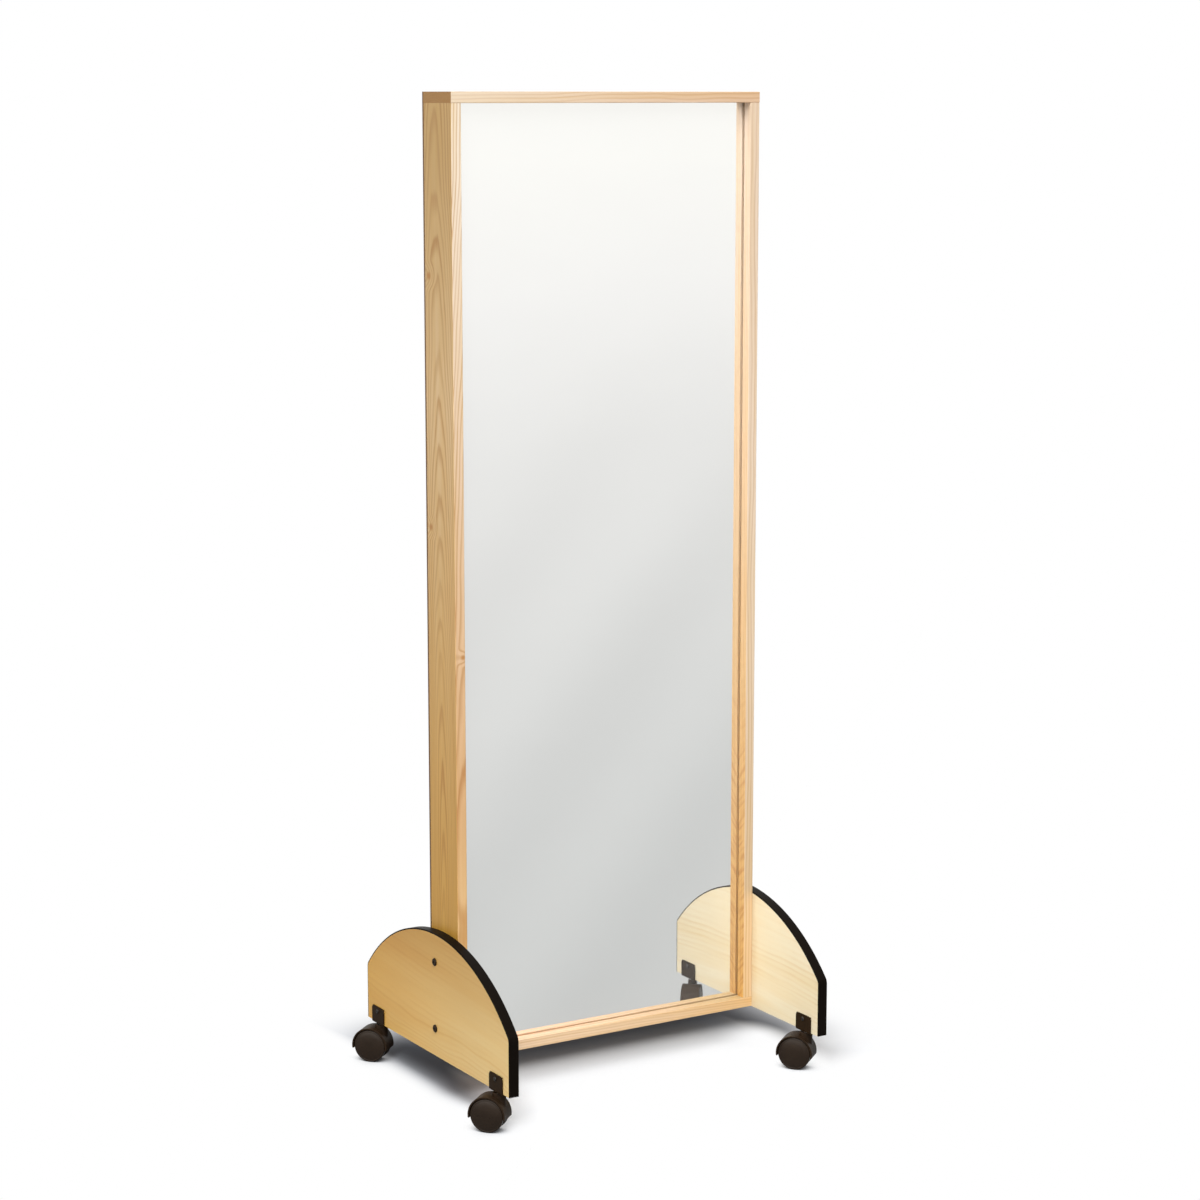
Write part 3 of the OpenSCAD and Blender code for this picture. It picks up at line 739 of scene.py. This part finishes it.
def zincMaterial():
    material, tree, shader = newMaterial("zincPlate", roughness=zinc["roughness"], metallic=1.0)
    parts = objectParts(tree)
    setColour(tree, shader, ramp(tree, noise(tree, parts, (zinc["spangle"],) * 3, 3.0), zinc["tones"]))
    fine = noise(tree, parts, (zinc["grain"],) * 3)
    setSheen(tree, shader, fine, zinc["roughness"], zinc)
    addBump(tree, shader, fine, zinc["bump"])
    return material


hardboard = dict(
    fuzz=700, fuzzTones=[(0.30, (0.105, 0.052, 0.024)), (0.70, (0.215, 0.118, 0.058))],
    clouds=5, cloudDepth=0.125, strands=(160, 160, 420), strandSpan=(0.60, 0.72), strandDepth=0.25,
    roughness=0.55, specular=0.35, sheenSpan=(0.3, 0.7), sheenSway=(-0.07, 0.09), bump=0.00008,
)


def hardboardMaterial():
    material, tree, shader = newMaterial("hardboard", hardboard["roughness"], hardboard["specular"])
    parts = objectParts(tree)
    fuzz = noise(tree, parts, (hardboard["fuzz"],) * 3, 3.0, 0.65)
    shade = swayed(tree, noise(tree, parts, (hardboard["clouds"],) * 3, 3.0), hardboard["cloudDepth"])
    strands = mapRange(tree, noise(tree, parts, hardboard["strands"], 3.0, 0.6), *hardboard["strandSpan"])
    shade = calc(tree, "MULTIPLY_ADD", strands, -hardboard["strandDepth"], shade)
    setColour(tree, shader, times(tree, ramp(tree, fuzz, hardboard["fuzzTones"]), grey(tree, shade)))
    setSheen(tree, shader, fuzz, hardboard["roughness"], hardboard)
    addBump(tree, shader, fuzz, hardboard["bump"])
    return material


def paintHardware(finish):
    for nodeName in ("frame_screws", "panel_washers", "panel_nuts", "grip_rings"):
        repaint(nodeName, finish)
    for corner in corners:
        repaint(f"{corner}_stem", finish)
        repaint(f"{corner}_axle", finish)


mirror = dict(
    front=-0.028,        # Y of the glass's face
    edge=0.0008, colour=(0.960, 0.962, 0.958),
    wipes=(4, 4, 9), tones=(0.985, 1.015), roughness=0.012, sheenSpan=(0.3, 0.7), sheenSway=(0.0, 0.02),
    dust=0.065,          # the share of light that it scatters instead of mirroring
)


def mirrorMaterial():
    roughness, metallic = mirror["roughness"], 1.0 - mirror["dust"]
    material, tree, shader = newMaterial("silveredGlass", roughness=roughness, metallic=metallic)
    wiped = noise(tree, objectParts(tree), mirror["wipes"], 4.0)
    setColour(tree, shader, mottled(tree, wiped, mirror["colour"], mirror))
    setSheen(tree, shader, wiped, roughness, mirror)
    return material


def makeMirror():
    low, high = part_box("mirror_glass")
    plate = addBlock("mirrorPlate", (low.x, mirror["front"], low.z), high)
    bevelEdges(plate, mirror["edge"])
    dress(plate, mirrorMaterial(), "root", "mirror_glass", "mirror_glass")


edgeBand = dict(
    endHeight=0.102,     # of the straight ends, above the panel's bottom edge
    thickness=0.0025, crown=0.0012, crownSegments=4, tongueWidth=0.0016, tongueDepth=0.0115,
    cornerRound=0.008, leastRound=0.001, cornerSegments=6, steps=480,
    below=0.02,          # how far the plate that hollows it out reaches past its ends
    finish=dict(colour=(0.0048, 0.0029, 0.0018), roughness=0.42, specular=0.04, grain=2200),
)


def archOutline(low, high, inset=0.0):
    # radius, height of the centre and height of the straight ends, of the outline or of one inset from it
    ends = low.z + edgeBand["endHeight"]
    arch = high.z - ends
    radius = (high.y ** 2 + arch ** 2) / (2 * arch)
    centreHeight = high.z - radius
    radius -= inset
    return radius, centreHeight, centreHeight + math.sqrt(radius ** 2 - (high.y - inset) ** 2)


def archPlate(name, low, high, width, inset=0.0, below=0.0):
    radius, centreHeight, ends = archOutline(low, high, inset)
    plate = addDisc(name, radius, width, ((low.x + high.x) / 2, 0, centreHeight), "X", edgeBand["steps"])
    cutBelow(plate, (0, 0, ends), (0, 0, 1))
    edit(plate)
    choose(plate, "faces", lambda centre, normal: normal.z < -0.99)
    push((0, 0, low.z - below - ends))
    choose(plate, "edges", lambda centre, way: abs(centre.z - ends) < 1e-5 and abs(way.x) > 0.9)
    corner = max(edgeBand["cornerRound"] - inset, edgeBand["leastRound"])
    bpy.ops.mesh.bevel(offset=corner, segments=edgeBand["cornerSegments"])
    done()
    return plate


def makeBands():
    finish = plasticMaterial("blackEdging", **edgeBand["finish"])
    thickness, below = edgeBand["thickness"], edgeBand["below"]
    for side in sides:
        low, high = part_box(f"{side}_edge_band")
        width = high.x - low.x
        band = archPlate(f"{side}Edging", low, high, width)
        merge(band, archPlate("inside", low, high, width * 2, thickness, below), "DIFFERENCE")
        radius, centreHeight = archOutline(low, high)[:2]

        def outermost(centre, way):
            reach = math.hypot(centre.y, centre.z - centreHeight)
            outer = reach > radius - thickness / 2 or abs(centre.y) > high.y - thickness / 4
            return outer and abs(way.x) < 0.1 and abs(2 * centre.x - low.x - high.x) > width - 1e-5

        edit(band)
        choose(band, "edges", outermost)
        bpy.ops.mesh.bevel(offset=edgeBand["crown"], segments=edgeBand["crownSegments"])
        done()
        tongue = archPlate("tongue", low, high, edgeBand["tongueWidth"], thickness / 2)
        merge(tongue, archPlate("inside", low, high, width, edgeBand["tongueDepth"], below), "DIFFERENCE")
        merge(band, tongue, "UNION")
        smooth(band, 40)
        dress(band, finish, "root", "edge_band", f"{side}_edge_band")


bracket = dict(
    thickness=0.0025, bend=0.0025, corner=0.006, edge=0.00035,
    hole=0.00405, holeCut=0.02, screwHole=0.00205, screwHoleCut=0.05, screwHeight=0.022,
    finish=dict(colour=(0.0215, 0.0112, 0.0042), roughness=0.42, specular=0.04),
)


def bracketScrewRise(low):
    return low.z + bracket["thickness"] + bracket["screwHeight"]


def makeBrackets():
    finish = coatedSteel("blackPowderCoat", **bracket["finish"])
    for corner in corners:
        low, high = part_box(f"{corner}_bracket")
        middle = (low + high) / 2
        plate = addBlock(f"{corner}Bracket", low, high)
        edit(plate)
        choose(plate, "faces", lambda centre, normal: normal.z > 0.9 or abs(normal.y) > 0.9)
        bpy.ops.mesh.delete(type="ONLY_FACE")
        choose(plate, "verts", lambda co, normal: co.z > middle.z)
        bpy.ops.mesh.bevel(offset=bracket["corner"], segments=6, affect="VERTICES")
        choose(plate, "edges", lambda centre, way: centre.z < low.z + 1e-5 and abs(way.y) > 0.9)
        bpy.ops.mesh.bevel(offset=bracket["bend"], segments=5)
        done()
        applyModifier(plate, "SOLIDIFY", thickness=bracket["thickness"], offset=-1, use_even_offset=True)
        bevelEdges(plate, bracket["edge"], angle=50)
        place = (middle.x, middle.y, low.z)
        hole = addDisc("stemHole", bracket["hole"], bracket["holeCut"], place, "Z", 32)
        merge(plate, hole, "DIFFERENCE")
        place = (middle.x, middle.y, bracketScrewRise(low))
        hole = addDisc("screwHole", bracket["screwHole"], bracket["screwHoleCut"], place, "X", 24)
        merge(plate, hole, "DIFFERENCE")
        smooth(plate)
        dress(plate, finish, "root", "black_steel", f"{corner}_bracket")


# shares of the head's height and radius; the recess's arms narrow towards their bottom
crossHead = dict(dome=0.82, arm=0.62, recessFloor=0.35, narrowing=(0.35, 0.8, 1), sides=40, shankSides=24)


def makeScrew(name, head, height, shank, length, slotWidth):
    # a domed head that stands on z = 0 with a cross recess, and its shank below
    screw = addDisc(name, head, height, (0, 0, height / 2), "Z", crossHead["sides"])
    edit(screw)
    choose(screw, "edges", lambda centre, way: centre.z > height - 1e-6 and abs(way.z) < 0.1)
    bpy.ops.mesh.bevel(offset=crossHead["dome"] * height, segments=5)
    done()
    arm, half = crossHead["arm"] * head, slotWidth / 2
    for turn in (0, math.pi / 2):
        slot = addBlock("slot", (-arm, -half, crossHead["recessFloor"] * height), (arm, half, 2 * height))
        edit(slot)
        choose(slot, "faces", lambda centre, normal: normal.z < -0.9)
        bpy.ops.transform.resize(value=crossHead["narrowing"])
        done()
        slot.rotation_euler = (0, 0, turn)
        fixPlace(slot)
        merge(screw, slot, "DIFFERENCE")
    middle = (0, 0, height / 8 - length / 2)
    pin = addDisc("shank", shank, length + height / 4, middle, "Z", crossHead["shankSides"])
    merge(screw, pin, "UNION")
    smooth(screw, 35)
    return screw


bracketScrew = dict(head=0.004, height=0.0022, shank=0.002, length=0.0105, slotWidth=0.0010)
bracketScrewTurns = dict(first=0.6, each=0.5, outward=0.3)     # of the recesses, in radians
blackOxide = dict(colour=(0.022, 0.019, 0.017), roughness=0.36, specular=0.3, metallic=0.5)


def makeBracketScrews():
    finish = coatedSteel("blackOxide", **blackOxide)
    screw = makeScrew("bracketScrewPattern", **bracketScrew)
    turns = bracketScrewTurns
    for number, corner in enumerate(corners):
        low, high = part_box(f"{corner}_bracket")
        for way, x in ((-1, low.x), (1, high.x)):
            name = f"{corner}BracketScrew{'Out' if way * sides[corner.split('_')[1]] > 0 else 'In'}"
            turn = turns["first"] + turns["each"] * number + turns["outward"] * way
            place = facing((x, (low.y + high.y) / 2, bracketScrewRise(low)), (way, 0, 0), turn)
            dress(copyOf(screw, name, place), finish, "root", "dark_steel", "bracket_screws")
    bpy.data.objects.remove(screw)


rearScrew = dict(head=0.0035, height=0.0022, shank=0.00175, length=0.016, slotWidth=0.0009)
rearScrewPlaces = dict(stileInset=0.0095, fromEnds=0.064, perStile=5, railShare=1 / 6, turnEach=0.9)


def makeRearScrews(finish):
    low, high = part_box("rear_panel")
    inset, ends, count = (rearScrewPlaces[key] for key in ("stileInset", "fromEnds", "perStile"))
    width, height = high.x - low.x, high.z - low.z
    places = []
    for side in sides.values():
        for step in range(count):
            rise = low.z + ends + step * (height - 2 * ends) / (count - 1)
            places.append((side * (width / 2 - inset), rise))
        for z in (low.z + inset, high.z - inset):
            places.append((side * width * rearScrewPlaces["railShare"], z))
    screw = makeScrew("rearScrewPattern", **rearScrew)
    for number, (x, z) in enumerate(places):
        place = facing((x, high.y, z), (0, 1, 0), rearScrewPlaces["turnEach"] * number)
        piece = copyOf(screw, f"rearScrew{number + 1:02d}", place)
        dress(piece, finish, "root", "zinc_steel", "rear_panel_screws")
    bpy.data.objects.remove(screw)


bolt = dict(
    head=0.007, height=0.0026, dome=0.8, socket=0.0023, socketDepth=0.0017, socketCut=0.004,
    shank=0.003, shankEnd=0.2835, shankBite=0.0005,      # X of its end, and how far it goes into the head
    heights=dict(low=0.050, high=0.172), turn=0.4, turnByHeight=9,
    finish=dict(colour=(0.020, 0.0105, 0.0040), roughness=0.36, specular=0.10),
)


def makeBolts():
    finish = coatedSteel("blackBolt", **bolt["finish"])
    panelLow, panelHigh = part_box("right_end_panel")
    length, height, bite = panelHigh.x - bolt["shankEnd"], bolt["height"], bolt["shankBite"]
    pattern = addDisc("boltPattern", bolt["head"], height, (0, 0, height / 2), "Z", 64)
    edit(pattern)
    choose(pattern, "edges", lambda centre, way: centre.z > height - 1e-6 and abs(way.z) < 0.1)
    bpy.ops.mesh.bevel(offset=bolt["dome"] * height, segments=6)
    done()
    socketMiddle = height - bolt["socketDepth"] + bolt["socketCut"] / 2
    socket = addDisc("socket", bolt["socket"], bolt["socketCut"], (0, 0, socketMiddle), "Z", 6)
    merge(pattern, socket, "DIFFERENCE")
    pin = addDisc("shank", bolt["shank"], length + bite, (0, 0, bite / 2 - length / 2), "Z", 32)
    merge(pattern, pin, "UNION")
    smooth(pattern, 35)
    for side, way in sides.items():
        for label, rise in bolt["heights"].items():
            turn = bolt["turn"] * way + rise * bolt["turnByHeight"]
            place = facing((way * panelHigh.x, 0, panelLow.z + rise), (way, 0, 0), turn)
            piece = copyOf(pattern, f"{side}Bolt{label.title()}", place)
            dress(piece, finish, "root", "black_steel", "panel_bolts")
    bpy.data.objects.remove(pattern)


# the casters are modelled with the stem's axis as Z, the trail along X and the axle along Y
caster = dict(trail=0.022, axle=0.030, top=0.0692)
hood = dict(
    outer=0.034, inner=0.0312, width=0.036, drop=0.0056, edge=0.0007, web=0.012, webBite=0.0014, boss=0.009,
    neck=0.008, neckReach=0.009, neckFlare=1.28, neckEdge=0.0009, bore=0.00405, boreDepth=0.031,
    ringRoom=0.0054, ringAt=0.014, ringHeight=0.0018, axleHole=0.00305,
    cut=0.05,            # length of the cutters of its holes
    finish=dict(colour=(0.0245, 0.0138, 0.0070), roughness=0.38, specular=0.08, grain=1500),
)


def makeHood():
    top, axle = caster["top"], caster["axle"]
    centre, lips = (caster["trail"], 0, axle), (0, 0, axle - hood["drop"])
    shell = addDisc("hoodPattern", hood["outer"], hood["width"], centre, "Y", 128)
    merge(shell, addDisc("inside", hood["inner"], hood["width"] * 2, centre, "Y", 128), "DIFFERENCE")
    cutBelow(shell, lips, (0, 0, 1))
    bevelEdges(shell, hood["edge"], 3)
    web = addDisc("web", hood["inner"] + hood["webBite"], hood["web"], centre, "Y", 96)
    cutBelow(web, lips, (0, 0, 1))
    merge(web, addDisc("boss", hood["boss"], hood["web"], centre, "Y", 48), "UNION")
    merge(shell, web, "UNION")
    neck = addDisc("neck", hood["neck"], top - axle, (0, 0, (top + axle) / 2), "Z", 64)
    edit(neck)
    choose(neck, "verts", lambda co, normal: co.x > 1e-5)
    bpy.ops.transform.translate(value=(hood["neckReach"], 0, 0))
    choose(neck, "faces", lambda centre, normal: normal.z < -0.9)
    bpy.ops.transform.resize(value=(1.0, hood["neckFlare"], 1.0))
    choose(neck, "edges", lambda middle, way: middle.z > top - 1e-5 and abs(way.z) < 0.1)
    bpy.ops.mesh.bevel(offset=hood["neckEdge"], segments=3)
    done()
    merge(neck, addDisc("hollow", hood["inner"], hood["width"] * 2, centre, "Y", 128), "DIFFERENCE")
    merge(shell, neck, "UNION")
    boreMiddle = top - hood["boreDepth"] + hood["cut"] / 2
    bore = addDisc("bore", hood["bore"], hood["cut"], (0, 0, boreMiddle), "Z", 48)
    room = addDisc("room", hood["ringRoom"], hood["ringHeight"], (0, 0, top - hood["ringAt"]), "Z", 48)
    merge(bore, room, "UNION")
    merge(shell, bore, "DIFFERENCE")
    merge(shell, addDisc("axleHole", hood["axleHole"], hood["cut"], centre, "Y", 32), "DIFFERENCE")
    smooth(shell, 32)
    return shell


wheel = dict(
    radius=0.030, width=0.0098, edge=0.0016, dome=0.0026, rim=0.004, face=0.0016, hub=0.007, bore=0.00305,
    boreEnd=0.0003,      # how far the bore goes on into the face
    rings=(0.0272, 0.0266, 0.023, 0.018, 0.012, 0.006), grooveRing=1, groove=0.0004,
    gap=0.0008,          # between the wheel and the hood's web
    finish=dict(colour=(0.0195, 0.0115, 0.0066), roughness=0.32, specular=0.16, grain=2400, bump=0.00003),
)


def atHub(centre):
    return math.hypot(centre.x, centre.z) < 1e-4


def domeHeight(radius):
    faceRadius = wheel["radius"] - wheel["edge"]
    curve = (faceRadius ** 2 + wheel["dome"] ** 2) / (2 * wheel["dome"])
    return math.sqrt(curve ** 2 - radius ** 2) - (curve - wheel["dome"])


def makeWheel():
    # the inner side is at Y = 0 and the domed face looks along +Y
    radius, width, edge, rim = (wheel[key] for key in ("radius", "width", "edge", "rim"))
    tyre = addDisc("wheelPattern", radius, width, (0, width / 2, 0), "Y", 96)
    edit(tyre)
    choose(tyre, "edges", lambda middle, way: abs(way.y) < 0.1)
    bpy.ops.mesh.bevel(offset=edge, segments=5)
    choose(tyre, "faces", lambda middle, normal: normal.y > 0.99 and atHub(middle))
    now, level = radius - edge, 0.0
    for step, ring in enumerate(wheel["rings"]):
        bpy.ops.mesh.inset(thickness=now - ring)
        height = domeHeight(ring) - (wheel["groove"] if step == wheel["grooveRing"] else 0.0)
        bpy.ops.transform.translate(value=(0, height - level, 0))
        now, level = ring, height
    deep = width - wheel["face"]
    choose(tyre, "faces", lambda middle, normal: normal.y < -0.99 and atHub(middle))
    bpy.ops.mesh.inset(thickness=rim - edge)
    push((0, deep, 0))
    bpy.ops.mesh.inset(thickness=radius - rim - wheel["hub"])
    push((0, -deep, 0))
    bpy.ops.mesh.inset(thickness=wheel["hub"] - wheel["bore"])
    push((0, deep + wheel["boreEnd"], 0))
    done()
    smooth(tyre, 32)
    return tyre


def makeCasters():
    hoodFinish = plasticMaterial("casterPlastic", **hood["finish"])
    wheelFinish = plasticMaterial("wheelPlastic", **wheel["finish"])
    hoodPattern, wheelPattern = makeHood(), makeWheel()
    for corner in corners:
        stem = joints[f"{corner}_swivel"]["pos_m"]
        axle = joints[f"{corner}_wheel_a_spin"]["axis"]
        heading = math.atan2(-axle[0], axle[1])
        place = Matrix.Translation((stem[0], stem[1], 0)) @ Matrix.Rotation(heading, 4, "Z")
        cover = copyOf(hoodPattern, f"{corner}Hood", place)
        dress(cover, hoodFinish, f"{corner}_caster", "caster_plastic", f"{corner}_hood")
        for hand, way in (("a", 1), ("b", -1)):
            # wheel b is the same wheel turned end for end
            turned = Matrix.Rotation(0 if way > 0 else math.pi, 4, "Z")
            aside = way * (hood["web"] / 2 + wheel["gap"])
            hub = Matrix.Translation((caster["trail"], aside, caster["axle"]))
            tyre = copyOf(wheelPattern, f"{corner}Wheel{hand.upper()}", place @ hub @ turned)
            dress(tyre, wheelFinish, f"{corner}_wheel_{hand}", "wheel_plastic", f"{corner}_wheel_{hand}")
    bpy.data.objects.remove(hoodPattern)
    bpy.data.objects.remove(wheelPattern)


bpy.context.scene.view_settings.view_transform = "Standard"
setCamera()
setWorld()
addKeyLight()
addFloor()
print("camera, light and floor are set")

paintBoards()
paintPanels()
brown = hardboardMaterial()
repaint("rear_panel", brown)
repaint("backing_board", brown)
zincPlate = zincMaterial()
paintHardware(zincPlate)
print("boards and panels have their finishes")

makeMirror()
makeBands()
makeBrackets()
print("mirror, edging and brackets are made")
makeBracketScrews()
makeRearScrews(zincPlate)
makeBolts()
print("screws and bolts are made")
makeCasters()
print("casters are made")
